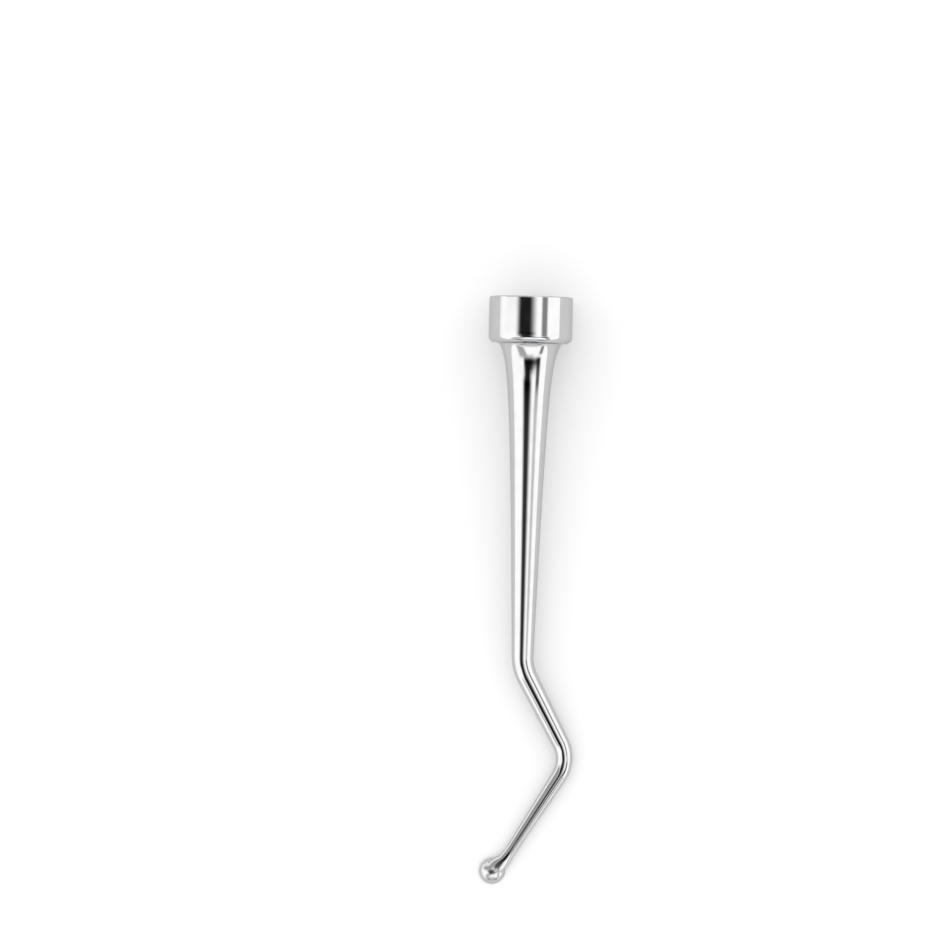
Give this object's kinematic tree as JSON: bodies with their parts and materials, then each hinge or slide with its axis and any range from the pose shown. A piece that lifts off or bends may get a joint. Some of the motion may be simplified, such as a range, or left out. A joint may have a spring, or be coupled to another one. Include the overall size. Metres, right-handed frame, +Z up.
{
  "type": "spoon excavator",
  "caption": "Working end of a spoon excavator: round collar, bell flare, long taper, cranked shank and a small hollowed spoon at the tip, in polished steel.",
  "frame": {"origin": "on the surface that the piece lies on, under the middle of its box", "axes": "+Z up from the surface; +Y along the length, towards the collar's flat end; the second bend stands out to +X, and the back of the spoon looks up"},
  "size_m": [0.0072, 0.0456, 0.0067],
  "materials": {
    "polished_steel": "mirror-polished stainless steel, with fine polishing marks"
  },
  "bodies": {
    "root": {"spoon_excavator": "polished_steel"}
  },
  "joints": []
}
